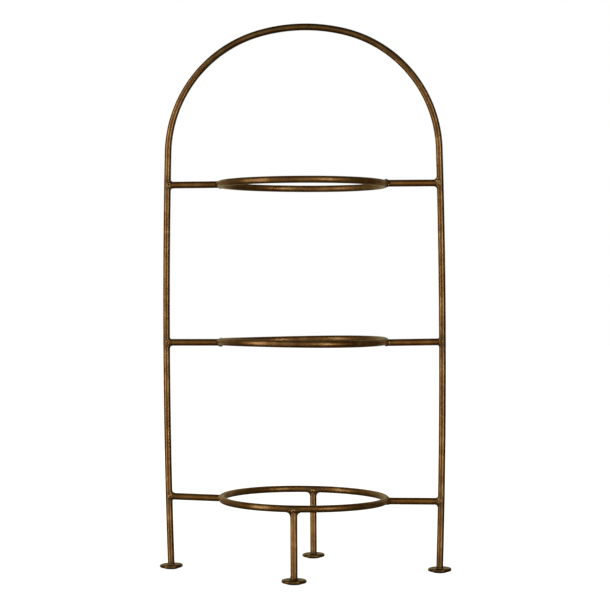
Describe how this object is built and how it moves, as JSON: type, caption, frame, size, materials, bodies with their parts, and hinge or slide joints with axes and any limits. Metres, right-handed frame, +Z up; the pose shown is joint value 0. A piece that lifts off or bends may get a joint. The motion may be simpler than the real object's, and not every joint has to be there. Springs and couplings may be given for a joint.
{
  "type": "tiered cake stand",
  "caption": "Free-standing welded rod frame with an arched handle, whose stacked hoops each carry a plate above round button feet.",
  "frame": {"origin": "on the surface that the stand rests on, at the middle of its feet", "axes": "+Z up; the arch stands in the XZ plane; -Y is the front, +X the right seen from the front"},
  "size_m": [0.2691, 0.1722, 0.5],
  "materials": {
    "rod": "antique bronze, mottled, semi-gloss lacquer",
    "foot": "antique bronze, darker in the hollows",
    "weld": "antique bronze over rough weld metal"
  },
  "bodies": {
    "root": {"arch_frame": "rod", "top_ring": "rod", "middle_ring": "rod", "bottom_ring": "rod", "top_left_crossbar": "rod", "top_left_upright_weld": "weld", "top_left_ring_weld": "weld", "top_right_crossbar": "rod", "top_right_upright_weld": "weld", "top_right_ring_weld": "weld", "middle_left_crossbar": "rod", "middle_left_upright_weld": "weld", "middle_left_ring_weld": "weld", "middle_right_crossbar": "rod", "middle_right_upright_weld": "weld", "middle_right_ring_weld": "weld", "bottom_left_crossbar": "rod", "bottom_left_upright_weld": "weld", "bottom_left_ring_weld": "weld", "bottom_right_crossbar": "rod", "bottom_right_upright_weld": "weld", "bottom_right_ring_weld": "weld", "front_leg": "rod", "front_leg_weld": "weld", "rear_leg": "rod", "rear_leg_weld": "weld", "left_foot": "foot", "left_foot_weld": "weld", "right_foot": "foot", "right_foot_weld": "weld", "front_foot": "foot", "front_foot_weld": "weld", "rear_foot": "foot", "rear_foot_weld": "weld"}
  },
  "joints": []
}
